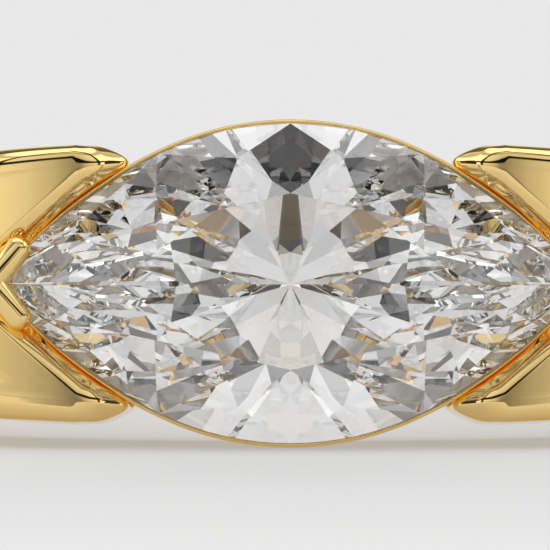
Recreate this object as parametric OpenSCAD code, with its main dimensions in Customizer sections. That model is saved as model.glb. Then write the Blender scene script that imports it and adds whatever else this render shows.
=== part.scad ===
// East west ring: a marquise brilliant set along a broad forked gold band.
// The ring lies on its side. The finger bore's centre is the origin, the head
// faces -Y, the stone's long axis runs along X and +Z is up.

/* [Stone] */
// Length of the stone, tip to tip
stone_l = 11; // [9:0.1:13]
// Width of the stone across the belly
stone_w = 6; // [5:0.1:7]
// Radius of the belly arcs in the outline
belly_r = 5.6; // [5:0.1:7]
// Half length of each belly arc along X
belly_half = 2.3; // [1.6:0.1:2.6]
// Thickness of the girdle
girdle_t = 0.15; // [0.1:0.01:0.3]
// Height of the crown above the girdle
crown_h = 0.9; // [0.6:0.05:1.2]
// Depth of the pavilion below the girdle
pavilion_h = 2.6; // [2:0.05:3]
// Table half width as a part of the belly's half width
table_belly = 0.62; // [0.5:0.01:0.7]
// Table half length as a part of the stone's half length
table_tip = 0.6; // [0.5:0.01:0.7]
// Table corner on the shoulder facet, as a part of the way out
table_side = 0.62; // [0.55:0.01:0.72]
// How far down the crown the star facets reach
star_part = 0.5; // [0.4:0.01:0.6]
// Place of the shoulder mains along the half length
side_main = 0.5; // [0.35:0.01:0.65]
// Inner reach of the lower girdle facets beside the belly mains
lower_belly = 0.28; // [0.15:0.01:0.5]
// Inner reach of the lower girdle facets beside the tip mains
lower_tip = 0.25; // [0.15:0.01:0.5]

/* [Band] */
// Inside diameter of the finger bore
bore_d = 17; // [15:0.1:21]
// Width of the band at the forked shoulders
shoulder_w = 5.58; // [5:0.05:6.2]
// Width of the band at the back
back_w = 3.5; // [2.5:0.1:4.5]
// Thickness of the band at the back
back_t = 1.6; // [1.2:0.1:2.4]
// Thickness that the sides would reach at the head
head_t = 4.6; // [4:0.1:5.2]
// Height of the panels above the stone's girdle
panel_rise = 0.45; // [0.3:0.05:0.7]
// Crown of the band's outer face across its width
face_crown = 0.2; // [0.05:0.05:0.4]
// Rounding of the band's outer edges
edge_r = 0.32; // [0.1:0.02:0.5]

// Width of the rail that closes the bore under the stone
rail_w = 4; // [3:0.1:4.4]
// Thickness of that rail
rail_t = 0.9; // [0.6:0.1:1.2]

/* [Setting] */
// Gap between the stone and its seat
seat_gap = 0.02; // [0.01:0.01:0.05]
// Thickness of the rim outside the girdle
rim_t = 0.1; // [0.08:0.01:0.3]
// Space between the culet and the finger bore
culet_gap = 0.28; // [0.15:0.01:0.6]
// Width of the channel between the stone and the fork
channel_w = 0.35; // [0.25:0.01:0.5]
// Depth of the channel below the girdle
channel_d = 0.3; // [0.2:0.05:0.6]
// Radius of the rounded arm ends
nose_r = 0.56; // [0.4:0.02:0.7]
// Distance from the middle of the stone to the arm ends
nose_x = 2.98; // [2.6:0.02:3.3]
// Thickness of the prong arms
prong_t = 0.5; // [0.4:0.02:0.7]
// Length of each prong arm, between the centres of its ends
prong_l = 0.8; // [0.6:0.02:1.1]
// How far the prongs stand above the girdle
prong_h = 0.5; // [0.4:0.02:0.7]

/* [Hidden] */
gold = [0.83, 0.62, 0.22];
crystal = [0.93, 0.95, 0.97];

half_l = stone_l / 2;
half_w = stone_w / 2;
bore_r = bore_d / 2;
girdle_f = bore_r + culet_gap + pavilion_h + girdle_t / 2;
top_f = girdle_f + panel_rise;
big = 30;

// Outline of the stone: a belly arc that runs into a flatter arc on each wing
belly_c = half_w - belly_r;
join_deg = asin(belly_half / belly_r);
join = [belly_half, belly_c + belly_r * cos(join_deg)];
join_n = [sin(join_deg), cos(join_deg)];
to_tip = [half_l, 0] - join;
wing_r = -(to_tip * to_tip) / (2 * (to_tip * join_n));
wing_c = join - wing_r * join_n;
tip_deg = acos(-wing_c.y / wing_r);

// Point of the outline whose outward normal leans phi degrees from +Y
function outline_at(phi) = phi <= join_deg
    ? [belly_r * sin(phi), belly_c + belly_r * cos(phi)]
    : wing_c + wing_r * [sin(phi), cos(phi)];

// Height of the outline at a distance x from the middle
function outline_y(x) = x <= belly_half
    ? belly_c + sqrt(belly_r * belly_r - x * x)
    : wing_c.y + sqrt(wing_r * wing_r - pow(x - wing_c.x, 2));

// Unit normal of the outline at x
function outline_n(x) = x <= belly_half
    ? [x, outline_y(x) - belly_c] / belly_r
    : ([x, outline_y(x)] - wing_c) / wing_r;

quarter_n = 16;
function quarter(grow) = [for (i = [0 : quarter_n]) let (
    phi = tip_deg * i / quarter_n,
    p = outline_at(phi))
    i == quarter_n
        ? [p.x + grow / sin(tip_deg), 0]
        : p + grow * [sin(phi), cos(phi)]];

function reversed(list) = [for (i = [len(list) - 1 : -1 : 0]) list[i]];

// Closed outline of the stone, grown outward by a gap
function marquise(grow) = let (
    q = quarter(grow),
    back = reversed(q))
    concat(q,
        [for (i = [1 : quarter_n]) [back[i].x, -back[i].y]],
        [for (i = [1 : quarter_n]) [-q[i].x, -q[i].y]],
        [for (i = [1 : quarter_n - 1]) [-back[i].x, back[i].y]]);

// A plane is [unit normal, distance from the origin]
function plane_through(p, q, r) = let (
    c = cross(q - p, r - p),
    n = c / norm(c),
    s = n * p < 0 ? -1 : 1)
    [s * n, s * (n * p)];

function plane_at(n, p) = let (u = n / norm(n)) [u, u * p];

// Cuts away everything outside a plane that is moved out by grow
module cut(pl, grow) {
    n = pl[0];
    rotate([0, acos(n.z), atan2(n.y, n.x)])
        translate([-big, -big, pl[1] + grow])
            cube([2 * big, 2 * big, big]);
}

// The plane's mirror images across X and Y
module cut_mirrored(pl, grow) {
    n = pl[0];
    for (sx = abs(n.x) > 0.0001 ? [1, -1] : [1])
        for (sy = abs(n.y) > 0.0001 ? [1, -1] : [1])
            cut([[sx * n.x, sy * n.y, n.z], pl[1]], grow);
}

// Facets of the stone, with the girdle's middle at z = 0 and the table up
low_z = -girdle_t / 2;
high_z = girdle_t / 2;
table_z = high_z + crown_h;
culet = [0, 0, low_z - pavilion_h];
belly_pt = [0, half_w];
tip_pt = [half_l, 0];
side_pt = [side_main * half_l, outline_y(side_main * half_l)];
side_n = outline_n(side_main * half_l);

// Slope of a pavilion main that passes the culet and the girdle at pt
function main_slope(pt, n) = pavilion_h / (n * pt) * n;
function main_plane(pt, n) = let (g = main_slope(pt, n))
    plane_at([g.x, g.y, -1], culet);

belly_g = main_slope(belly_pt, [0, 1]);
side_g = main_slope(side_pt, side_n);
tip_g = main_slope(tip_pt, [1, 0]);

// Direction of the edge between two mains
function valley(g1, g2) = let (d = g1 - g2, r = [-d.y, d.x])
    (r.x + r.y < 0 ? -1 : 1) * r / norm(r);

// Where a ray from the middle meets the outline, by halving
function hit_x(r, lo, hi, n) = n == 0 ? (lo + hi) / 2 : let (
    m = (lo + hi) / 2)
    m * r.y - outline_y(m) * r.x < 0 ? hit_x(r, m, hi, n - 1) : hit_x(r, lo, m, n - 1);
function hit(r) = let (x = hit_x(r, 0, half_l, 40)) [x, outline_y(x)];

gap_belly = hit(valley(belly_g, side_g));
gap_tip = hit(valley(side_g, tip_g));

function at_z(p, z) = [p.x, p.y, z];
function lower_point(gap, reach, g) = let (p = reach * gap)
    [p.x, p.y, culet.z + g * p];

// Two lower girdle facets that share an inner point and a girdle point
function lower_pair(gap, reach, g, a, b) = let (
    inner = lower_point(gap, reach, g),
    edge = at_z(gap, low_z))
    [plane_through(inner, edge, at_z(a, low_z)),
     plane_through(inner, edge, at_z(b, low_z))];

// Crown mains rise from the girdle to the table's corners
function crown_plane(pt, n, part) = let (
    g = -crown_h / ((pt - part * pt) * n) * n)
    plane_at([-g.x, -g.y, 1], at_z(pt, high_z));

belly_crown = crown_plane(belly_pt, [0, 1], table_belly);
side_crown = crown_plane(side_pt, side_n, table_side);
tip_crown = crown_plane(tip_pt, [1, 0], table_tip);

// Point on the edge between two crown mains, part of the way down
function edge_point(k1, k2, part) = let (
    c = cross(k1[0], k2[0]),
    d = c.z > 0 ? -c : c,
    det = k1[0].x * k2[0].y - k1[0].y * k2[0].x,
    r1 = k1[1] - k1[0].z * table_z,
    r2 = k2[1] - k2[0].z * table_z,
    top = [(r1 * k2[0].y - r2 * k1[0].y) / det, (k1[0].x * r2 - k2[0].x * r1) / det, table_z])
    top + d * (part * crown_h / -d.z);

star_belly = edge_point(belly_crown, side_crown, star_part);
star_tip = edge_point(side_crown, tip_crown, star_part);

function upper_pair(star, gap, a, b) = let (edge = at_z(gap, high_z))
    [plane_through(star, edge, at_z(a, high_z)),
     plane_through(star, edge, at_z(b, high_z))];

pavilion_facets = concat(
    [main_plane(belly_pt, [0, 1]), main_plane(side_pt, side_n), main_plane(tip_pt, [1, 0])],
    lower_pair(gap_belly, lower_belly, belly_g, belly_pt, side_pt),
    lower_pair(gap_tip, lower_tip, side_g, side_pt, tip_pt));

crown_facets = concat(
    [belly_crown, side_crown, tip_crown],
    [plane_through(at_z(table_belly * belly_pt, table_z), at_z(table_side * side_pt, table_z), star_belly),
     plane_through(at_z(table_side * side_pt, table_z), at_z(table_tip * tip_pt, table_z), star_tip)],
    upper_pair(star_belly, gap_belly, belly_pt, side_pt),
    upper_pair(star_tip, gap_tip, side_pt, tip_pt));

// The crown facets that lie under the prongs
tip_facets = concat([tip_crown], upper_pair(star_tip, gap_tip, side_pt, tip_pt));

// The cut stone, or the room it needs when grown by a gap
module brilliant(grow, crown) {
    difference() {
        translate([0, 0, culet.z - 1])
            linear_extrude(table_z + grow - culet.z + 1)
                polygon(marquise(grow));
        for (pl = pavilion_facets) cut_mirrored(pl, grow);
        for (pl = crown) cut_mirrored(pl, grow);
    }
}

// Head features are drawn facing up: z is the distance in front of the bore's axis
module head() {
    rotate([90, 0, 0]) children();
}

// Band, measured by the angle from the head
function side_part(t) = (1 + cos(t)) / 2;
function half_width(t) = (back_w + (shoulder_w - back_w) * pow(side_part(t), 4)) / 2;
function round_r(t) = bore_r + back_t + (head_t - back_t) * pow(side_part(t), 2.2);
blend = 0.5;
function soft_min(a, b) = let (h = min(1, max(0, 0.5 + 0.5 * (b - a) / blend)))
    b * (1 - h) + a * h - blend * h * (1 - h);
function outer_r(t) = cos(t) < 0.5 ? round_r(t) : soft_min(round_r(t), top_f / cos(t));

corner_n = 4;
function section(t) = let (
    w = half_width(t),
    r = outer_r(t),
    e = edge_r,
    side = concat(
        [[bore_r - 0.5, w]],
        [for (i = [0 : corner_n]) let (a = 90 - 90 * i / corner_n)
            [r - face_crown - e + e * cos(a), w - e + e * sin(a)]],
        [[r - face_crown * 0.25, (w - e) / 2]]),
    back = reversed(side))
    concat(side, [[r, 0]], [for (p = back) [p.x, -p.y]]);

band_n = 60;
module band_body() {
    rows = [for (k = [0 : band_n - 1]) section(360 * k / band_n)];
    m = len(rows[0]);
    pts = [for (k = [0 : band_n - 1]) let (t = 360 * k / band_n)
        for (p = rows[k]) [p.x * sin(t), -p.x * cos(t), p.y]];
    polyhedron(pts, [for (k = [0 : band_n - 1]) for (i = [0 : m - 1]) let (
        k2 = (k + 1) % band_n,
        i2 = (i + 1) % m)
        for (tri = [[k * m + i, k2 * m + i2, k * m + i2], [k * m + i, k2 * m + i, k2 * m + i2]])
            tri]);
}

// Front view of the space between the four rounded arm ends
nose_cx = nose_x + nose_r;
nose_cy = half_width(0) - nose_r;
module between_arms() {
    difference() {
        square([2 * nose_cx, big], center = true);
        for (sx = [1, -1])
            for (sy = [1, -1])
                translate([sx * nose_cx, sy * nose_cy]) circle(nose_r, $fn = 48);
    }
}

// Front view of the fork: its point lies past the stone's tip
fork_x = half_l + channel_w * 1.4;
fork_y = outline_y(nose_cx) + channel_w;
fork_end = nose_x - 1;
module fork_plan(sx) {
    polygon([[sx * fork_x, 0], [sx * nose_cx, fork_y], [sx * fork_end, fork_y],
        [sx * fork_end, -fork_y], [sx * nose_cx, -fork_y]]);
}

floor_f = girdle_f - channel_d;
module forked_band() {
    difference() {
        band_body();
        head() translate([0, 0, bore_r * 0.5]) linear_extrude(big) between_arms();
        for (sx = [1, -1])
            head() translate([0, 0, floor_f]) linear_extrude(big) fork_plan(sx);
    }
}

// Cup under the stone: its rim just passes the girdle
cup_base = bore_r * 0.8;
cup_taper = 0.74;
module cup() {
    head() translate([0, 0, girdle_f + high_z]) mirror([0, 0, 1])
        linear_extrude(girdle_f + high_z - cup_base, scale = cup_taper)
            polygon(marquise(rim_t));
}

// Rail that closes the bore under the cup
module rail() {
    intersection() {
        cylinder(h = rail_w, r = bore_r + rail_t, center = true, $fn = 128);
        translate([-nose_cx - 0.3, -big, -big / 2]) cube([2 * nose_cx + 0.6, big, big]);
    }
}

// Open base, so that light reaches the culet
base_part = 0.42;
module base_hole() {
    head() translate([0, 0, cup_base - 1])
        linear_extrude(girdle_f - pavilion_h * 0.45 - cup_base + 1)
            polygon([for (p = marquise(0)) base_part * p]);
}

// V-shaped prongs: two arms from a point over each tip of the stone
prong_r = prong_t / 2;
prong_f = girdle_f + prong_h - prong_r;
prong_x = half_l + 0.1;
prong_deg = 52;
prong_end = [prong_x - prong_l * cos(prong_deg), prong_l * sin(prong_deg)];
module prong_post(x, y) {
    translate([x, y, prong_f]) sphere(prong_r, $fn = 20);
    translate([x, y, floor_f - 0.5]) cylinder(h = prong_f - floor_f, r = prong_r * 0.98, $fn = 20);
}
module prongs() {
    head() for (sx = [1, -1])
        for (sy = [1, -1])
            hull() {
                prong_post(sx * prong_x, 0);
                prong_post(sx * prong_end.x, sy * prong_end.y);
            }
}

// The ring rests on its rim in front and on the band's edge at the back
rest_deg = atan2(half_w + rim_t - back_w / 2, girdle_f + bore_r + back_t - edge_r);
module rest_pose() {
    rotate([-rest_deg, 0, 0]) children();
}

module gold_ring() {
    color(gold) rest_pose() difference() {
        union() {
            forked_band();
            cup();
            rail();
            prongs();
        }
        head() translate([0, 0, girdle_f]) brilliant(seat_gap, tip_facets);
        base_hole();
        cylinder(h = big, r = bore_r, center = true, $fn = 128);
    }
}

module marquise_stone() {
    color(crystal) rest_pose() head() translate([0, 0, girdle_f]) brilliant(0, crown_facets);
}

gold_ring();
marquise_stone();
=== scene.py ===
import math
import bmesh
import bpy
from mathutils import Matrix, Vector


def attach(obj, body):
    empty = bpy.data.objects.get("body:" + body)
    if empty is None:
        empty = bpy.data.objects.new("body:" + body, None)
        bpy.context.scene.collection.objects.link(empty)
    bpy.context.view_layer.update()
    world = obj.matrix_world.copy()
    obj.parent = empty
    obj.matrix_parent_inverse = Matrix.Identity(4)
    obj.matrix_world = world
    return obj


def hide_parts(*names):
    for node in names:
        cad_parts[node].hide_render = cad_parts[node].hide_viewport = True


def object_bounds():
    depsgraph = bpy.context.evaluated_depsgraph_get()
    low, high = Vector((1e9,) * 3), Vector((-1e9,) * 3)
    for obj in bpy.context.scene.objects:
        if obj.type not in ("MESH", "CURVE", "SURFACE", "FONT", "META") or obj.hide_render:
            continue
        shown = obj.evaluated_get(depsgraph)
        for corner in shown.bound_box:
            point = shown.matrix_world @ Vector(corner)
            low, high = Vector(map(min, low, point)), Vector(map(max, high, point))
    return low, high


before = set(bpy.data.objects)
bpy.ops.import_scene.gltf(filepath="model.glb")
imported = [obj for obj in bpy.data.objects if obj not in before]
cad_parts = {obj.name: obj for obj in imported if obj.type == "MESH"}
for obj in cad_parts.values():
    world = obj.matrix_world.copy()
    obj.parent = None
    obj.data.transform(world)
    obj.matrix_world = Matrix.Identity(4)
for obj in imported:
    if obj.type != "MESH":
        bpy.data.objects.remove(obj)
cad_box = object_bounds()

# Sizes are in millimetres in head coordinates: x along the band, y up across it and z forward
# from the finger axis. A turn is an angle round that axis from the head, in radians.
MM = 0.001

# Gold ring: bore radius, thickness at the back and the head, width at the shoulders and the back
BORE_R = 8.5
BACK_T, HEAD_T = 1.57, 4.58
SHOULDER_W, BACK_W = 5.40, 3.5
# How steeply its width and thickness grow towards the head
WIDTH_POWER, THICKNESS_POWER = 4, 2.2
# Crown of its outer face at the head and at the back
HEAD_CROWN, BACK_CROWN = 0.045, 0.12
# The girdle's distance from the finger axis, and the rise of the flat panels over it
GIRDLE_F, PANEL_RISE = 11.455, 0.45
TOP_F = GIRDLE_F + PANEL_RISE
# The flat panels and the round back join softly over this length, and there is no flat past
# this cosine of the turn
SOFT, FLAT_COS = 0.5, 0.5
# Lean of the ring, which rests on its broad head and its narrow back, in degrees
REST_DEG = 3.6376

# Marquise stone: half its length and width, the arc of its belly, and its heights
HALF_L, HALF_W = 5.5, 3.0
BELLY_R, BELLY_HALF = 5.6, 2.3
GIRDLE_T, CROWN_H, PAVILION_H = 0.15, 0.892, 2.64
GIRDLE_POINTS = 64
# Spare height of the blank above and below the cut stone
BLANK_SPARE = 0.5
# Depth of the stars below the table, as a share of the crown
STAR_PART = 0.5
# Crown mains: place along the half length, how far out the table's corner lies
CROWN_MAINS = ((0.0, 0.55), (0.45, 0.55), (1.0, 0.6))
# Pavilion mains: place along the half length, steepness
PAVILION_MAINS = ((0.0, 1.0), (0.45, 1.0), (1.0, 1.15))
# Height of the lower facets' inner points over the culet, as a share of the pavilion
LOWER_REACH = (0.2, 0.3)

# Fork of the band: where its two edges meet, their slope, and the panels' rounded corners
FORK_X, FORK_SLOPE = 6.0, 0.926
PANEL_CORNER_X = 3.756
PANEL_ROUND = 0.15
FORK_HALF = math.atan(FORK_SLOPE)
# Directions that the panel's edge faces on the band's side, at the arms' ends and at the fork,
# in degrees from +X in the front view
SIDE_ANGLE, END_ANGLE, FORK_ANGLE = 90, 180, 270 - math.degrees(FORK_HALF)
# The panel's edge: direction that it faces, width of the rounding, its end slope, reach of its
# foot, reach hidden under the stone
EDGE_SHAPE = (
    (SIDE_ANGLE, 0.22, 80, 0.235, 0.0),
    (125, 0.28, 66, 0.31, 0.0),
    (150, 0.42, 48, 0.57, 0.0),
    (167, 0.50, 40, 0.84, 0.02),
    (END_ANGLE, 0.52, 36, 1.04, 0.05),
    (205, 0.32, 36, 0.92, 0.02),
    (FORK_ANGLE, 0.22, 38, 0.62, 0.02),
)
# The rounding's steps, and how late it starts to fall
FILLET_STEPS, SOFT_START = 5, 1.3
# Crease at the rounding's foot: how far past it, how deep. It grows to its depth between the
# crisp directions, and it is narrower where the foot leaves it less room than this.
CREASE = ((0.03, 0.10), (0.055, 0.125))
CRISP_FROM, CRISP_TO = 185, 212
CREASE_ROOM = 0.11
# The edge's foot stops at the stone where it faces past this direction, in degrees, with this gap
SEAT_FROM, SEAT_GAP = 165, 0.04
# How far past its reach the foot is looked for, and how far past it may lie
REACH_SEARCH, REACH_SPARE = 0.4, 0.1
# Depth of the foot below the girdle at the arms' ends and beside the fork, and how much
# deeper its hidden part lies
NOSE_DROP, FORK_DROP, HIDDEN_DROP = 0.06, 0.07, 0.06
# Height over the bore of the wall's middle row beside the stone
WALL_ROW = 1.6
# Inset of the panel from the band's side past the corner, the turn over which it is reached,
# and the turn past which the side's lines run straight to the finger axis
SIDE_INSET = 0.36
INSET_TURN, RADIAL_TURN = 0.25, 0.75
# Rows down the side, as shares of the way to the bore
SIDE_ROWS = (0.05, 0.1, 0.6, 1.0)
# Rounded edge of the bore, and its rows in degrees
BORE_EDGE = 0.3
BORE_LEANS = (30, 60, 90)
# Mesh of a quarter of the band: columns along the fork and round the corner, rows round the
# corner and to the back, the length of the first rows and the growth of the others
LINE_COLS, FAN_COLS, FAN_ROWS, BACK_ROWS = 8, 4, 4, 31
COLS, ROWS = LINE_COLS + FAN_COLS, FAN_ROWS + BACK_ROWS
FAN_STEP, ROW_GROWTH = 0.11, 1.12
SMOOTH_LEVELS = 2

# Cup: points round it, rim thickness, and the share of its size that it loses over a depth
CUP_POINTS = 128
RIM_T = 0.078
TAPER_SHARE, TAPER_DEPTH = 0.26, 4.73
# Loops of its wall by their depth, and of its base and seat by their share of the outline
BASE_HOLE = 0.42
WALL_DEPTHS = (0.4, 1.2, 2.1)
BASE_SCALES = (0.84, 0.76, 0.66, 0.54, BASE_HOLE)
SEAT_SCALES = (BASE_HOLE, 0.56, 0.7, 0.84, 0.96)
# Rim: distance out from the stone's outline, height over the girdle's middle
RIM_PROFILE = (
    (0.010, -0.06), (0.010, 0.02), (0.02, 0.06), (0.034, 0.078),
    (0.05, 0.078), (0.066, 0.06), (RIM_T, 0.02), (RIM_T, -0.05),
)
# The rim is thinner and lower beside the arms, from this x on, over this length
ARM_X, ARM_RUN = 3.0, 0.5
ARM_RIM_T, ARM_RIM_SINK = 0.045, 0.6
# Clearances: the cup's base over the bore, and the cup and its white lining under the pavilion
BASE_CLEAR = 0.01
CUP_CLEAR, LINING_CLEAR = 0.12, 0.03
# Seat: how far out of the stone's outline it is drawn, and the lining's thickness and loops
SEAT_GROW = 0.01
LINING_T = 0.05
LINING_SCALES = (0.985, 0.9, 0.8, 0.7, 0.6, 0.5, BASE_HOLE)

# Rail: closes the bore behind the cup, a little further out than the cup's base
RAIL_W, RAIL_T, RAIL_START_X, RAIL_END_X = 4.0, 0.9, 2.1, 4.2
RAIL_INSET = 0.05
RAIL_STEPS = 8

# Prongs: two domed arms over each tip, with legs into the band; radius, length and leg, then
# the x where they meet, their top over the girdle, their angle in degrees, and the mesh
PRONG_R, PRONG_L, PRONG_LEG = 0.25, 0.8, 0.9
PRONG_X, PRONG_TOP, PRONG_DEG = 5.6, 0.5, 52
PRONG_SEGMENTS, PRONG_RINGS = 24, 16

# Finishes: tones, roughness, and each noise's scale for a metre and detail
GOLD_TONES = ((0.95, 0.685, 0.27), (0.96, 0.70, 0.30))
GOLD_GLANCE = (1.0, 0.84, 0.55)
GOLD_ROUGHNESS = (0.03, 0.075)
GOLD_CLOUDS, GOLD_GRAIN = (900.0, 3.0), (6000.0, 2.0)
GRAIN_STRENGTH, GRAIN_HEIGHT = 0.02, 0.00001
PLATING_TONES = ((0.86, 0.86, 0.87), (0.92, 0.92, 0.92))
PLATING_ROUGHNESS = 0.35
PLATING_CLOUDS = (2500.0, 2.0)
STONE_IOR = 2.417

# Floor: level of the CAD's lowest point and half size, in metres, then its paper and its glow
FLOOR_Z, FLOOR_HALF = cad_box[0][2], 0.35
TABLE_PAPER, TABLE_TINT = 0.44, (1.0, 0.99, 0.98)
TABLE_GLOW = 0.34

# Studio: brightness by the angle from the middle of the front light, in degrees
FRONT_RISE_DEG = 6.0
BACKDROP = 0.81
STUDIO_RINGS = (
    (0, 0.3), (10, 0.32), (20, 0.6), (35, 0.8), (59, 0.96), (62, 0.06), (68, 0.06), (70, 1.6),
    (108, 1.6), (114, 0.15), (135, 0.15), (155, BACKDROP), (180, BACKDROP),
)
# The front lights by height above the horizon in degrees, with dark seams between them,
# and the cosines of the angle from the front light's middle between which they fade out
LIGHT_SEAMS = (
    (-90, 0.7), (2, 0.7), (7, 1.0), (11, 1.0), (12.5, 0.02), (20, 0.02), (22, 1.0), (44, 1.0),
    (47, 0.4), (54, 0.4), (57, 1.0), (90, 1.0),
)
SEAMS_OFF, SEAMS_ON = -0.6, -0.2

# Back light: power in watts, size and place in metres, lean in degrees
BACK_LIGHT_W = 7200.0
BACK_LIGHT_SIZE = (21.0, 1.8)
BACK_LIGHT_PLACE = (0, 12.0, 1.5)
BACK_LIGHT_LEAN = -83

# Camera: the photo's size in pixels, its scale at the stone, and the stone's middle in it
PHOTO_PX = 550
MM_PER_PX = 0.01875
STONE_PX = (290.5, 283.4)
# Its distance, its rise over the level, its sensor's width, and its clipping in metres
CAMERA_DISTANCE = 150.0
CAMERA_RISE_DEG = 1.6
SENSOR_W = 36
CLIP_START, CLIP_END = 0.001, 10
# Bounces of light that the stone needs
MAX_BOUNCES, METAL_BOUNCES, GLASS_BOUNCES = 32, 24, 24

# Distances under which vertices are merged, what counts as nothing, and the rounds of a search
MERGE, FINE_MERGE = 1e-4, 1e-6
TINY = 1e-5
HALVINGS, CORNER_ROUNDS = 40, 20
# Turn up to which the outer face is searched for its x
SEARCH_TURN = 1.3
# Share of the way to the tip from which a point of the outline is the tip
AT_TIP = 0.999


# Head coordinates to the part's own frame, in metres
TO_PART = (Matrix.Scale(MM, 4) @ Matrix.Rotation(-math.radians(REST_DEG), 4, "X")
           @ Matrix.Rotation(math.radians(90), 4, "X"))


def blend(a, b, part):
    return a + (b - a) * part


def smooth_step(a, b, x):
    part = min(1.0, max(0.0, (x - a) / (b - a)))
    return part * part * (3 - 2 * part)


def last_before(low, high, passed):
    """The largest value between low and high that hasn't passed a limit, by halving."""
    for _ in range(HALVINGS):
        mid = (low + high) / 2
        if passed(mid):
            high = mid
        else:
            low = mid
    return low


def on_radius(turn, radius, y):
    return Vector((radius * math.sin(turn), y, radius * math.cos(turn)))


def at_z(plan, z):
    return Vector((plan.x, plan.y, z))


def signs(value):
    """Both signs for a facet that leans off a middle plane, and one for a facet that doesn't."""
    return (1, -1) if abs(value) > TINY else (1,)


def verts_of(geom):
    return [item for item in geom if isinstance(item, bmesh.types.BMVert)]


# Meshes
def finish_mesh(bm, name, smooth=True, merge=MERGE):
    """Makes the object from a bmesh in head coordinates."""
    bmesh.ops.remove_doubles(bm, verts=bm.verts, dist=merge)
    bmesh.ops.recalc_face_normals(bm, faces=bm.faces)
    bmesh.ops.transform(bm, matrix=TO_PART, verts=bm.verts)
    mesh = bpy.data.meshes.new(name)
    bm.to_mesh(mesh)
    bm.free()
    if smooth:
        mesh.shade_smooth()
    else:
        mesh.shade_flat()
    obj = bpy.data.objects.new(name, mesh)
    bpy.context.scene.collection.objects.link(obj)
    return obj


def mirrored(bm, axes):
    """Mirrors a quarter or half across the head's middle planes."""
    for axis in axes:
        copy = bmesh.ops.duplicate(bm, geom=bm.verts[:] + bm.edges[:] + bm.faces[:])["geom"]
        scale = Vector((-1, 1, 1)) if axis == "X" else Vector((1, -1, 1))
        bmesh.ops.scale(bm, vec=scale, verts=verts_of(copy))
        bmesh.ops.reverse_faces(bm, faces=[g for g in copy if isinstance(g, bmesh.types.BMFace)])


def outline_loop(bm, points, filled=False):
    """A closed loop of vertices in the order in which marquise_point runs."""
    verts = bmesh.ops.create_circle(bm, segments=points, radius=1, cap_ends=filled)["verts"]
    return sorted(verts, key=lambda vert: math.atan2(vert.co.x, vert.co.y) % (2 * math.pi))


def loop_edges(bm, verts):
    return [bm.edges.get(pair) for pair in zip(verts, verts[1:] + verts[:1])]


def extruded(bm, edges, verts):
    """Extrudes edges once and returns the new vertices in the order of the old ones."""
    new = set(bmesh.ops.extrude_edge_only(bm, edges=edges)["geom"])
    return [next(e.other_vert(v) for e in v.link_edges if e.other_vert(v) in new) for v in verts]


def extrude_loop(bm, verts):
    return extruded(bm, loop_edges(bm, verts), verts)


def extrude_chain(bm, chain, places):
    """Extrudes an open chain of vertices once and moves the new ones to their places."""
    edges = [bm.edges.get(pair) for pair in zip(chain[:-1], chain[1:])]
    moved = extruded(bm, edges, chain)
    for vert, place in zip(moved, places):
        vert.co = place
    return moved


# Outline of the stone: a belly arc that runs into a flatter arc on each wing
BELLY_C = HALF_W - BELLY_R
JOIN = math.asin(BELLY_HALF / BELLY_R)
JOIN_PT = Vector((BELLY_HALF, BELLY_C + BELLY_R * math.cos(JOIN)))
JOIN_N = Vector((math.sin(JOIN), math.cos(JOIN)))
TO_TIP = Vector((HALF_L, 0)) - JOIN_PT
WING_R = -TO_TIP.dot(TO_TIP) / (2 * TO_TIP.dot(JOIN_N))
WING_C = JOIN_PT - WING_R * JOIN_N
TIP_LEAN = math.acos(-WING_C.y / WING_R)


def outline_at(lean):
    """Point of the outline whose outward normal leans that far from +Y."""
    if lean <= JOIN:
        return Vector((BELLY_R * math.sin(lean), BELLY_C + BELLY_R * math.cos(lean)))
    return WING_C + WING_R * Vector((math.sin(lean), math.cos(lean)))


def outline_y(x):
    if x <= BELLY_HALF:
        return BELLY_C + math.sqrt(BELLY_R ** 2 - x * x)
    return WING_C.y + math.sqrt(WING_R ** 2 - (x - WING_C.x) ** 2)


def outline_normal(x):
    centre = Vector((0, BELLY_C)) if x <= BELLY_HALF else WING_C
    return (Vector((x, outline_y(x))) - centre).normalized()


def outline_towards(plan):
    """Where a ray from the middle through plan meets the outline."""
    ray = Vector((abs(plan.x), abs(plan.y)))
    x = last_before(0.0, HALF_L, lambda at: at * ray.y > outline_y(at) * ray.x)
    return Vector((x, outline_y(x)))


def marquise_point(quarters, grow):
    """Point of the outline grown outward by a gap, from +Y round by way of +X in four quarters."""
    quarter, part = int(quarters) % 4, quarters - int(quarters)
    lean = TIP_LEAN * (1 - part if quarter % 2 else part)
    if lean > TIP_LEAN * AT_TIP:
        point = Vector((HALF_L + grow / math.sin(TIP_LEAN), 0))
    else:
        point = outline_at(lean) + grow * Vector((math.sin(lean), math.cos(lean)))
    sign_x, sign_y = ((1, 1), (1, -1), (-1, -1), (-1, 1))[quarter]
    return Vector((point.x * sign_x, point.y * sign_y))


# Marquise brilliant: facet planes worked out from the girdle, with z up from the girdle's middle
HIGH_Z, LOW_Z = GIRDLE_T / 2, -GIRDLE_T / 2
TABLE_Z = HIGH_Z + CROWN_H
CULET_Z = LOW_Z - PAVILION_H


def main_place(share):
    """Girdle point and outward normal of a main facet at that share of the half length."""
    if share == 0:
        return Vector((0, HALF_W)), Vector((0, 1))
    if share == 1:
        return Vector((HALF_L, 0)), Vector((1, 0))
    x = share * HALF_L
    return Vector((x, outline_y(x))), outline_normal(x)


def plane_through(a, b, c):
    normal = (b - a).cross(c - a).normalized()
    return (normal if normal.dot(a) > 0 else -normal), a


def edge_between(first, second):
    """A point and the direction of the line where two planes meet."""
    (n1, p1), (n2, p2) = first, second
    line = n1.cross(n2).normalized()
    rows = Matrix((n1, n2, line))
    return rows.inverted() @ Vector((n1.dot(p1), n2.dot(p2), 0)), line


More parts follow.
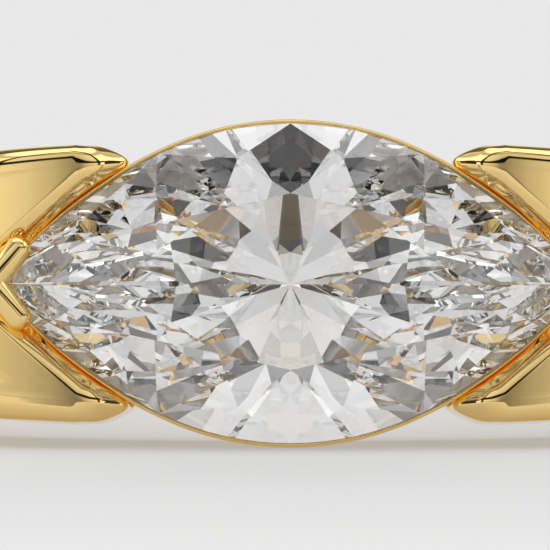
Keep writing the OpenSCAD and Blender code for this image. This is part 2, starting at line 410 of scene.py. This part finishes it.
def pavilion_facets():
    mains = []
    for share, steep in PAVILION_MAINS:
        plan, normal = main_place(share)
        slope = steep * PAVILION_H / normal.dot(plan) * normal
        mains.append(((Vector((slope.x, slope.y, -1)).normalized(), at_z(plan, LOW_Z)), plan))
    facets = [plane for plane, _ in mains]
    for (first, a), (second, b), reach in zip(mains[:-1], mains[1:], LOWER_REACH):
        point, line = edge_between(first, second)
        level = CULET_Z + (LOW_Z - CULET_Z) * reach
        inner = point + line * ((level - point.z) / line.z)
        rim = point + line * ((LOW_Z - point.z) / line.z)
        edge = at_z(outline_towards(rim), LOW_Z)
        facets += [plane_through(inner, edge, at_z(plan, LOW_Z)) for plan in (a, b)]
    return facets


def crown_facets():
    mains = []
    for share, part in CROWN_MAINS:
        plan, normal = main_place(share)
        slope = CROWN_H / ((1 - part) * plan.dot(normal)) * normal
        plane = (Vector((slope.x, slope.y, 1)).normalized(), at_z(plan, HIGH_Z))
        mains.append((plane, plan, part * plan))
    facets = [plane for plane, _, _ in mains] + [(Vector((0, 0, 1)), Vector((0, 0, TABLE_Z)))]
    for (first, a, inner_a), (second, b, inner_b) in zip(mains[:-1], mains[1:]):
        point, line = edge_between(first, second)
        star = point + line * ((TABLE_Z - STAR_PART * CROWN_H - point.z) / line.z)
        rim = point + line * ((HIGH_Z - point.z) / line.z)
        edge = at_z(outline_towards(rim), HIGH_Z)
        facets.append(plane_through(at_z(inner_a, TABLE_Z), at_z(inner_b, TABLE_Z), star))
        facets += [plane_through(star, edge, at_z(plan, HIGH_Z)) for plan in (a, b)]
    return facets


def cut_facet(bm, normal, point):
    """Cuts off what lies outside a plane and closes the cut with one face."""
    geom = bm.verts[:] + bm.edges[:] + bm.faces[:]
    cut = bmesh.ops.bisect_plane(bm, geom=geom, dist=TINY, plane_co=point, plane_no=normal,
                                 clear_outer=True)
    edges = [g for g in cut["geom_cut"] if isinstance(g, bmesh.types.BMEdge)]
    edges = [e for e in edges if len(e.link_faces) < 2]
    if edges:
        bmesh.ops.contextual_create(bm, geom=edges)


def marquise_brilliant():
    """An upright blank on the girdle's outline, cut by each facet on every side that has it."""
    bm = bmesh.new()
    for index, vert in enumerate(outline_loop(bm, GIRDLE_POINTS, filled=True)):
        vert.co = at_z(marquise_point(4 * index / GIRDLE_POINTS, 0), CULET_Z - BLANK_SPARE)
    top = bmesh.ops.extrude_face_region(bm, geom=bm.faces[:])["geom"]
    height = TABLE_Z - CULET_Z + 2 * BLANK_SPARE
    bmesh.ops.translate(bm, verts=verts_of(top), vec=(0, 0, height))
    bmesh.ops.recalc_face_normals(bm, faces=bm.faces)
    for normal, point in pavilion_facets() + crown_facets():
        for side in signs(normal.x):
            for up in signs(normal.y):
                flip = Vector((side, up, 1))
                cut_facet(bm, normal * flip, point * flip)
    bmesh.ops.translate(bm, verts=bm.verts, vec=(0, 0, GIRDLE_F))
    return finish_mesh(bm, "marquise_brilliant", smooth=False, merge=TINY)


# Forked band: a quarter of it is a grid of columns along the fork and rows to the back
def head_part(turn):
    """Nearness to the head: 1 at the head and 0 at the back."""
    return (1 + math.cos(turn)) / 2


def half_width(turn):
    return (BACK_W + (SHOULDER_W - BACK_W) * head_part(turn) ** WIDTH_POWER) / 2


def outer_r(turn):
    """Radius of the outer face: the round back and the flat panels, softly joined."""
    round_r = BORE_R + BACK_T + (HEAD_T - BACK_T) * head_part(turn) ** THICKNESS_POWER
    if math.cos(turn) < FLAT_COS:
        return round_r
    flat_r = TOP_F / math.cos(turn)
    part = min(1.0, max(0.0, 0.5 + 0.5 * (flat_r - round_r) / SOFT))
    return flat_r * (1 - part) + round_r * part - SOFT * part * (1 - part)


def turn_at(x):
    """Turn at which the band's outer face reaches that x."""
    return last_before(0.0, SEARCH_TURN, lambda turn: outer_r(turn) * math.sin(turn) >= x)


def edge_shape(angle):
    """The row of EDGE_SHAPE at that direction, without the direction."""
    for low, high in zip(EDGE_SHAPE[:-1], EDGE_SHAPE[1:]):
        if angle <= high[0]:
            part = smooth_step(low[0], high[0], angle)
            return [blend(a, b, part) for a, b in zip(low, high)][1:]
    return EDGE_SHAPE[-1][1:]


FORK_START = FORK_X + EDGE_SHAPE[-1][1] / math.sin(FORK_HALF)
CORNER = Vector((PANEL_CORNER_X, (FORK_START - PANEL_CORNER_X) * FORK_SLOPE))
CORNER_TURN = turn_at(CORNER.x)
FORK_FACING = Vector((math.cos(math.radians(FORK_ANGLE)), math.sin(math.radians(FORK_ANGLE))))


def edge_inset(turn):
    """Distance from the panel's side line to the band's side."""
    at_corner = half_width(CORNER_TURN) - CORNER.y
    return blend(at_corner, SIDE_INSET, smooth_step(CORNER_TURN, CORNER_TURN + INSET_TURN, turn))


def rounded_corner():
    """Middle of the arc that rounds the panel's corner."""
    x = CORNER.x
    for _ in range(CORNER_ROUNDS):
        turn = turn_at(x)
        y = half_width(turn) - edge_inset(turn) - PANEL_ROUND
        x = FORK_START - (PANEL_ROUND + FORK_FACING.y * y) / FORK_FACING.x
    return Vector((x, y))


ROUND_MID = rounded_corner()
LINE_END = ROUND_MID + PANEL_ROUND * FORK_FACING
SIDE_TURN = turn_at(ROUND_MID.x)


def way_back(row):
    """Share of the way to the back at a row past the corner, with rows that grow longer."""
    return (ROW_GROWTH ** (row - FAN_ROWS) - 1) / (ROW_GROWTH ** BACK_ROWS - 1)


def middle_turn(row, start):
    """Turn of a row on the band's middle line."""
    step = FAN_STEP / TOP_F
    if row <= FAN_ROWS:
        return start + step * row
    return blend(start + step * FAN_ROWS, math.pi, way_back(row))


def side_turn(row):
    """Turn of a row on the band's side, past the rounded corner."""
    return blend(SIDE_TURN, math.pi, way_back(row))


def face_point(turn, y):
    """Point of the crowned outer face."""
    crown = blend(BACK_CROWN, HEAD_CROWN, head_part(turn) ** WIDTH_POWER)
    return on_radius(turn, outer_r(turn) - crown * (y / half_width(turn)) ** 2, y)


def chain_point(index, reach):
    """Plan point of the panel's edge, moved outward by reach, and the direction it faces there."""
    if index <= LINE_COLS:
        y = index / LINE_COLS * (LINE_END.y + FORK_FACING.y * reach)
        x = FORK_START - reach / math.sin(FORK_HALF) - y / FORK_SLOPE
        return Vector((x, y)), FORK_ANGLE
    if index >= COLS + FAN_ROWS:
        turn = side_turn(index - COLS)
        y = half_width(turn) - edge_inset(turn) + reach
        return Vector((outer_r(turn) * math.sin(turn), y)), SIDE_ANGLE
    angle = blend(FORK_ANGLE, SIDE_ANGLE, (index - LINE_COLS) / (FAN_COLS + FAN_ROWS))
    facing = math.radians(angle)
    outward = Vector((math.cos(facing), math.sin(facing)))
    return ROUND_MID + (PANEL_ROUND + reach) * outward, angle


def reach_of_stone(index, longest):
    """How far outward the edge's foot lies where it meets the stone's outline."""
    def past_outline(reach):
        place, _ = chain_point(index, reach)
        return place.x < HALF_L and place.y < outline_y(place.x) + SEAT_GAP
    reach = last_before(0.0, longest + REACH_SEARCH, past_outline)
    return min(reach, longest + REACH_SPARE)


def front_levels(index):
    """Points down the edge beside the fork and round the arm's end, from the panel to the bore."""
    plan, angle = chain_point(index, 0)
    inset, slope, reach, hidden = edge_shape(angle)
    height = face_point(turn_at(plan.x), plan.y).z
    points = []
    for step in range(FILLET_STEPS):
        fall = math.radians(slope) * ((step + 0.5) / FILLET_STEPS) ** SOFT_START
        height -= inset / FILLET_STEPS * math.tan(fall)
        place, _ = chain_point(index, inset * (step + 1) / FILLET_STEPS)
        points.append(at_z(place, height))
    narrow = min(1, (reach - inset) / CREASE_ROOM)
    crisp = smooth_step(CRISP_FROM, CRISP_TO, angle)
    for past, drop in CREASE:
        place, _ = chain_point(index, inset + past * narrow)
        drop = blend(past * narrow * math.tan(math.radians(slope)), drop, crisp)
        points.append(at_z(place, height - drop))
    if angle > SEAT_FROM:
        reach = reach_of_stone(index, reach)
    foot, _ = chain_point(index, reach)
    under, _ = chain_point(index, reach + hidden)
    foot_f = GIRDLE_F - blend(NOSE_DROP, FORK_DROP, smooth_step(END_ANGLE, FORK_ANGLE, angle))
    points.append(at_z(foot, foot_f))
    points.append(at_z(under, foot_f - HIDDEN_DROP))
    for radius in (BORE_R + WALL_ROW, BORE_R + BORE_EDGE):
        points.append(at_z(under, math.sqrt(radius ** 2 - under.x ** 2)))
    return points


def side_levels(index):
    """Points down the band's side, from the panel to the bore, as many as front_levels gives."""
    turn = side_turn(index - COLS)
    inset = edge_inset(turn)
    y = half_width(turn) - inset
    top = face_point(turn, y)
    top_r = math.hypot(top.x, top.z)
    steps = FILLET_STEPS + len(CREASE)
    points = []
    for step in range(1, steps + 1):
        lean = math.pi / 2 * step / steps
        radius = top_r - SIDE_INSET * (1 - math.cos(lean))
        points.append(on_radius(turn, radius, y + inset * math.sin(lean)))
    radial = smooth_step(CORNER_TURN, RADIAL_TURN, turn)
    for part in SIDE_ROWS:
        radius = blend(top_r - SIDE_INSET, BORE_R + BORE_EDGE, part)
        straight = math.asin(min(1, top.x / radius))
        points.append(on_radius(blend(straight, turn, radial), radius, half_width(turn)))
    return points


def edge_levels(index):
    """All points below one of the panel's edge, with the bore's rounded edge at the end."""
    points = front_levels(index) if index < COLS + FAN_ROWS else side_levels(index)
    low = points[-1]
    turn = math.atan2(low.x, low.z)
    for degrees in BORE_LEANS:
        lean = math.radians(degrees)
        inward = BORE_EDGE * (1 - math.cos(lean))
        radius = BORE_R + BORE_EDGE * (1 - math.sin(lean))
        points.append(on_radius(turn, radius, low.y * (1 - inward / half_width(turn))))
    return points


def grid_places(bm):
    """A new grid's vertices by their column and row."""
    verts = bmesh.ops.create_grid(bm, x_segments=COLS, y_segments=ROWS, size=0.5)["verts"]
    return {(round((v.co.x + 0.5) * COLS), round((v.co.y + 0.5) * ROWS)): v for v in verts}


def lay_panel(places):
    """The panel, blended from its front edge, its side edge and the band's middle line."""
    def on_face(index):
        plan, _ = chain_point(index, 0)
        turn = turn_at(plan.x) if index < COLS + FAN_ROWS else side_turn(index - COLS)
        return Vector((turn, plan.y))
    front_mid, corner, back = on_face(0), on_face(COLS), on_face(COLS + ROWS)
    for (col, row), vert in places.items():
        front, side = on_face(col), on_face(COLS + row)
        middle = middle_turn(row, front_mid.x)
        u, v = front.y / corner.y, (middle - front_mid.x) / (math.pi - front_mid.x)
        turn = (1 - v) * front.x + (1 - u) * middle + u * side.x
        turn -= (1 - v) * ((1 - u) * front_mid.x + u * corner.x)
        y = (1 - v) * front.y + v * u * back.y + u * side.y - u * ((1 - v) * corner.y + v * back.y)
        vert.co = face_point(turn, y)


def lay_bore(places, chain):
    """The bore's surface, inside the last points of the edge."""
    def turn_of(vert):
        return math.atan2(vert.co.x, vert.co.z)
    edge_start = turn_of(chain[COLS])
    for (col, row), vert in places.items():
        if row == 0 or col == COLS:
            vert.co = chain[col + row].co
            continue
        along = (turn_of(chain[COLS + row]) - edge_start) / (math.pi - edge_start)
        turn = blend(turn_of(chain[col]), math.pi, along)
        share = blend(chain[col].co.y / chain[COLS].co.y, col / COLS, smooth_step(0, ROWS, row))
        vert.co = on_radius(turn, BORE_R, share * chain[COLS + row].co.y)


def forked_band():
    """The panel, its edge extruded down to the bore, and the bore, mirrored from one quarter."""
    bm = bmesh.new()
    panel = grid_places(bm)
    lay_panel(panel)
    chain = [panel[col, 0] for col in range(COLS + 1)]
    chain += [panel[COLS, row] for row in range(1, ROWS + 1)]
    levels = [edge_levels(index) for index in range(len(chain))]
    for places in zip(*levels):
        chain = extrude_chain(bm, chain, places)
    lay_bore(grid_places(bm), chain)
    mirrored(bm, "YX")
    band = finish_mesh(bm, "forked_band")
    smooth = band.modifiers.new("smooth", "SUBSURF")
    smooth.levels = smooth.render_levels = SMOOTH_LEVELS
    return band


# Cup: the rim that passes the girdle, the tapered wall below it, the open base and the seat
def lay_cup_loop(verts, grow, height, scale=1.0):
    """Lays a loop round the stone at a height over the girdle, or over the bore with none given."""
    for index, vert in enumerate(verts):
        quarters = 4 * index / CUP_POINTS
        beside = smooth_step(ARM_X, ARM_X + ARM_RUN, abs(marquise_point(quarters, 0).x))
        plan = marquise_point(quarters, blend(grow, min(grow, ARM_RIM_T), beside)) * scale
        front = math.sqrt(BORE_R ** 2 - plan.x ** 2) + BASE_CLEAR
        if height is not None:
            raised = height * (1 - ARM_RIM_SINK * beside) if height > 0 else height
            front = max(front, GIRDLE_F + raised)
        vert.co = at_z(plan, front)


def lay_under_pavilion(verts, scale, clear):
    """Lays a loop on the pavilion at a share of the outline, lowered by a clearance."""
    facets = pavilion_facets()
    for index, vert in enumerate(verts):
        plan = marquise_point(4 * index / CUP_POINTS, SEAT_GROW) * scale
        spot = Vector((abs(plan.x), abs(plan.y), 0))
        depth = max((normal.dot(point) - normal.dot(spot)) / normal.z for normal, point in facets)
        vert.co = at_z(plan, GIRDLE_F + min(depth, LOW_Z) - clear)


def rim_cup():
    bm = bmesh.new()
    first = outline_loop(bm, CUP_POINTS)
    lay_cup_loop(first, *RIM_PROFILE[0])
    verts = first
    for grow, height in RIM_PROFILE[1:]:
        verts = extrude_loop(bm, verts)
        lay_cup_loop(verts, grow, height)
    for depth in WALL_DEPTHS:
        verts = extrude_loop(bm, verts)
        lay_cup_loop(verts, RIM_T, -depth, 1 - TAPER_SHARE / TAPER_DEPTH * depth)
    for scale in BASE_SCALES:
        verts = extrude_loop(bm, verts)
        lay_cup_loop(verts, RIM_T, None, scale)
    for scale in SEAT_SCALES:
        verts = extrude_loop(bm, verts)
        lay_under_pavilion(verts, scale, CUP_CLEAR)
    bmesh.ops.bridge_loops(bm, edges=loop_edges(bm, first) + loop_edges(bm, verts))
    return finish_mesh(bm, "rim_cup")


def seat_lining():
    """The bright white lining of the seat under the stone."""
    bm = bmesh.new()
    verts = outline_loop(bm, CUP_POINTS)
    lay_under_pavilion(verts, LINING_SCALES[0], LINING_CLEAR)
    for scale in LINING_SCALES[1:]:
        verts = extrude_loop(bm, verts)
        lay_under_pavilion(verts, scale, LINING_CLEAR)
    bmesh.ops.recalc_face_normals(bm, faces=bm.faces)
    if sum(face.normal.z for face in bm.faces) < 0:
        bmesh.ops.reverse_faces(bm, faces=bm.faces)
    bmesh.ops.solidify(bm, geom=bm.faces[:], thickness=LINING_T)
    return finish_mesh(bm, "seat_lining", merge=FINE_MERGE)


# Rail
def bore_rail():
    """A bar across the band on each side of the cup's base, spun round the finger axis."""
    bm = bmesh.new()
    bmesh.ops.create_grid(bm, x_segments=1, y_segments=1, size=0.5)
    start, end = (math.asin(x / BORE_R) for x in (RAIL_START_X, RAIL_END_X))
    for vert in bm.verts:
        radius = BORE_R + RAIL_INSET + (vert.co.x + 0.5) * RAIL_T
        vert.co = on_radius(start, radius, vert.co.y * RAIL_W)
    geom = bm.verts[:] + bm.edges[:] + bm.faces[:]
    bmesh.ops.spin(bm, geom=geom, cent=(0, 0, 0), axis=(0, 1, 0), angle=end - start, steps=RAIL_STEPS)
    mirrored(bm, "X")
    return finish_mesh(bm, "bore_rail")


# Prongs
def prong_arm(bm, side, up):
    """A capsule from the point past the stone's tip towards the belly, with its leg."""
    made = bmesh.ops.create_uvsphere(bm, u_segments=PRONG_SEGMENTS, v_segments=PRONG_RINGS,
                                     radius=PRONG_R)["verts"]
    bmesh.ops.rotate(bm, verts=made, matrix=Matrix.Rotation(math.radians(90), 3, "Y"))
    for vert in made:
        if vert.co.x > TINY:
            vert.co.x += PRONG_L
        if vert.co.z < -TINY:
            vert.co.z -= PRONG_LEG
    turn = math.radians(180 - PRONG_DEG)
    bmesh.ops.rotate(bm, verts=made, matrix=Matrix.Rotation(turn, 3, "Z"))
    bmesh.ops.translate(bm, verts=made, vec=(PRONG_X, 0, GIRDLE_F + PRONG_TOP - PRONG_R))
    bmesh.ops.scale(bm, verts=made, vec=(side, up, 1))


def tip_prongs():
    bm = bmesh.new()
    for side in (1, -1):
        for up in (1, -1):
            prong_arm(bm, side, up)
    return finish_mesh(bm, "tip_prongs", merge=FINE_MERGE)


# Materials
def new_material(name, shader_type):
    """A material with one shader at its output."""
    mat = bpy.data.materials.new(name)
    mat.use_nodes = True
    nodes, links = mat.node_tree.nodes, mat.node_tree.links
    nodes.clear()
    out = nodes.new("ShaderNodeOutputMaterial")
    shader = nodes.new(shader_type)
    links.new(shader.outputs["BSDF"], out.inputs["Surface"])
    return mat, nodes, links, shader


def noise_over(nodes, links, scale, detail):
    """A noise on the piece's own coordinates."""
    coords = nodes.new("ShaderNodeTexCoord")
    noise = nodes.new("ShaderNodeTexNoise")
    noise.inputs["Scale"].default_value = scale
    noise.inputs["Detail"].default_value = detail
    links.new(coords.outputs["Object"], noise.inputs["Vector"])
    return noise.outputs["Fac"]


def mixed_tones(nodes, links, factor, tones):
    tone = nodes.new("ShaderNodeMix")
    tone.data_type = "RGBA"
    tone.inputs["A"].default_value = (*tones[0], 1)
    tone.inputs["B"].default_value = (*tones[1], 1)
    links.new(factor, tone.inputs["Factor"])
    return tone.outputs["Result"]


def polished_gold():
    mat, nodes, links, metal = new_material("polished_gold", "ShaderNodeBsdfPrincipled")
    metal.inputs["Metallic"].default_value = 1.0
    metal.inputs["Specular Tint"].default_value = (*GOLD_GLANCE, 1)
    clouds = noise_over(nodes, links, *GOLD_CLOUDS)
    rough = nodes.new("ShaderNodeMapRange")
    rough.inputs["To Min"].default_value = GOLD_ROUGHNESS[0]
    rough.inputs["To Max"].default_value = GOLD_ROUGHNESS[1]
    links.new(clouds, rough.inputs["Value"])
    links.new(rough.outputs["Result"], metal.inputs["Roughness"])
    links.new(mixed_tones(nodes, links, clouds, GOLD_TONES), metal.inputs["Base Color"])
    grain = nodes.new("ShaderNodeBump")
    grain.inputs["Strength"].default_value = GRAIN_STRENGTH
    grain.inputs["Distance"].default_value = GRAIN_HEIGHT
    links.new(noise_over(nodes, links, *GOLD_GRAIN), grain.inputs["Height"])
    links.new(grain.outputs["Normal"], metal.inputs["Normal"])
    return mat


def white_plating():
    mat, nodes, links, metal = new_material("white_plating", "ShaderNodeBsdfPrincipled")
    metal.inputs["Metallic"].default_value = 1.0
    metal.inputs["Roughness"].default_value = PLATING_ROUGHNESS
    clouds = noise_over(nodes, links, *PLATING_CLOUDS)
    links.new(mixed_tones(nodes, links, clouds, PLATING_TONES), metal.inputs["Base Color"])
    return mat


def clear_brilliant():
    mat, _, _, glass = new_material("clear_brilliant", "ShaderNodeBsdfGlass")
    glass.inputs["IOR"].default_value = STONE_IOR
    glass.inputs["Roughness"].default_value = 0.0
    glass.inputs["Color"].default_value = (1, 1, 1, 1)
    return mat


def pale_table():
    """A pale lit table: a soft glow with some plain paper in it."""
    mat, _, _, paper = new_material("pale_table", "ShaderNodeBsdfPrincipled")
    paper.inputs["Base Color"].default_value = (*(TABLE_PAPER * part for part in TABLE_TINT), 1)
    paper.inputs["Roughness"].default_value = 0.9
    paper.inputs["Specular IOR Level"].default_value = 0.0
    paper.inputs["Emission Color"].default_value = (1, 1, 1, 1)
    paper.inputs["Emission Strength"].default_value = TABLE_GLOW
    return mat


# Studio
def add_floor():
    bm = bmesh.new()
    verts = bmesh.ops.create_grid(bm, x_segments=1, y_segments=1, size=FLOOR_HALF)["verts"]
    bmesh.ops.translate(bm, verts=verts, vec=(0, 0, FLOOR_Z))
    mesh = bpy.data.meshes.new("floor")
    bm.to_mesh(mesh)
    bm.free()
    obj = bpy.data.objects.new("floor", mesh)
    bpy.context.scene.collection.objects.link(obj)
    mesh.materials.append(pale_table())


def grey_ramp(nodes, links, value, stops, from_sine):
    """A grey ramp over an angle in degrees, worked out from its cosine or its sine."""
    angle = nodes.new("ShaderNodeMath")
    angle.operation = "ARCSINE" if from_sine else "ARCCOSINE"
    links.new(value, angle.inputs[0])
    share = nodes.new("ShaderNodeMath")
    share.operation = "MULTIPLY_ADD"
    share.inputs[1].default_value = 1 / math.pi
    share.inputs[2].default_value = 0.5 if from_sine else 0
    links.new(angle.outputs[0], share.inputs[0])
    ramp = nodes.new("ShaderNodeValToRGB")
    links.new(share.outputs[0], ramp.inputs["Fac"])
    marks = ramp.color_ramp.elements
    while len(marks) < len(stops):
        marks.new(0.5)
    for mark, (degrees, level) in zip(marks, stops):
        mark.position = (degrees + (90 if from_sine else 0)) / 180
        mark.color = (level, level, level, 1)
    return ramp.outputs["Color"]


def studio_world():
    """Rings of light and dark round the front, crossed by the seams of the front lights."""
    world = bpy.data.worlds.new("studio")
    bpy.context.scene.world = world
    world.use_nodes = True
    nodes, links = world.node_tree.nodes, world.node_tree.links
    coords = nodes.new("ShaderNodeTexCoord")
    facing = nodes.new("ShaderNodeVectorMath")
    facing.operation = "DOT_PRODUCT"
    rise = math.radians(FRONT_RISE_DEG)
    facing.inputs[1].default_value = (0, -math.cos(rise), math.sin(rise))
    links.new(coords.outputs["Generated"], facing.inputs[0])
    height = nodes.new("ShaderNodeSeparateXYZ")
    links.new(coords.outputs["Generated"], height.inputs[0])
    tent = nodes.new("ShaderNodeMix")
    tent.data_type, tent.blend_type = "RGBA", "MULTIPLY"
    front = nodes.new("ShaderNodeMapRange")
    front.inputs["From Min"].default_value = SEAMS_OFF
    front.inputs["From Max"].default_value = SEAMS_ON
    links.new(facing.outputs["Value"], front.inputs["Value"])
    links.new(front.outputs["Result"], tent.inputs["Factor"])
    rings = grey_ramp(nodes, links, facing.outputs["Value"], STUDIO_RINGS, from_sine=False)
    seams = grey_ramp(nodes, links, height.outputs["Z"], LIGHT_SEAMS, from_sine=True)
    links.new(rings, tent.inputs["A"])
    links.new(seams, tent.inputs["B"])
    links.new(tent.outputs["Result"], nodes["Background"].inputs["Color"])


def add_back_light():
    """A low wide light behind the ring, which throws its soft shadow forward."""
    data = bpy.data.lights.new("back_light", "AREA")
    data.shape = "RECTANGLE"
    data.size, data.size_y = BACK_LIGHT_SIZE
    data.energy = BACK_LIGHT_W
    lamp = bpy.data.objects.new("back_light", data)
    bpy.context.scene.collection.objects.link(lamp)
    lamp.location = BACK_LIGHT_PLACE
    lamp.rotation_euler = (math.radians(BACK_LIGHT_LEAN), 0, 0)
    lamp.visible_camera = lamp.visible_glossy = lamp.visible_transmission = False


def add_camera():
    """Puts the stone's middle where it lies in the photo."""
    rise = math.radians(CAMERA_RISE_DEG)
    back = Vector((0, -math.cos(rise), math.sin(rise)))
    up = Vector((0, math.sin(rise), math.cos(rise)))
    across = (PHOTO_PX / 2 - STONE_PX[0]) * MM_PER_PX
    raised = (STONE_PX[1] - PHOTO_PX / 2) * MM_PER_PX
    stone_mid = TO_PART @ Vector((0, 0, GIRDLE_F))
    aim = stone_mid + MM * (Vector((across, 0, 0)) + raised * up)
    data = bpy.data.cameras.new("camera")
    data.sensor_width = SENSOR_W
    data.lens = SENSOR_W * CAMERA_DISTANCE / (PHOTO_PX * MM_PER_PX)
    data.clip_start, data.clip_end = CLIP_START, CLIP_END
    cam = bpy.data.objects.new("camera", data)
    bpy.context.scene.collection.objects.link(cam)
    cam.location = aim + back * CAMERA_DISTANCE * MM
    cam.rotation_euler = (math.radians(90) - rise, 0, 0)
    bpy.context.scene.camera = cam


scene = bpy.context.scene
scene.view_settings.view_transform = "Standard"
scene.cycles.max_bounces = MAX_BOUNCES
scene.cycles.glossy_bounces = METAL_BOUNCES
scene.cycles.transmission_bounces = GLASS_BOUNCES
scene.cycles.caustics_reflective = True
scene.cycles.caustics_refractive = True

gold = polished_gold()
plating = white_plating()
METALWORK = (
    (forked_band, gold), (rim_cup, gold), (seat_lining, plating), (bore_rail, gold), (tip_prongs, gold),
)
for make, finish in METALWORK:
    piece = make()
    piece.data.materials.append(finish)
    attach(piece, "root")
    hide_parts("gold_ring")
stone = marquise_brilliant()
stone.data.materials.append(clear_brilliant())
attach(stone, "root")
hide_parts("marquise_stone")

add_floor()
studio_world()
add_back_light()
add_camera()
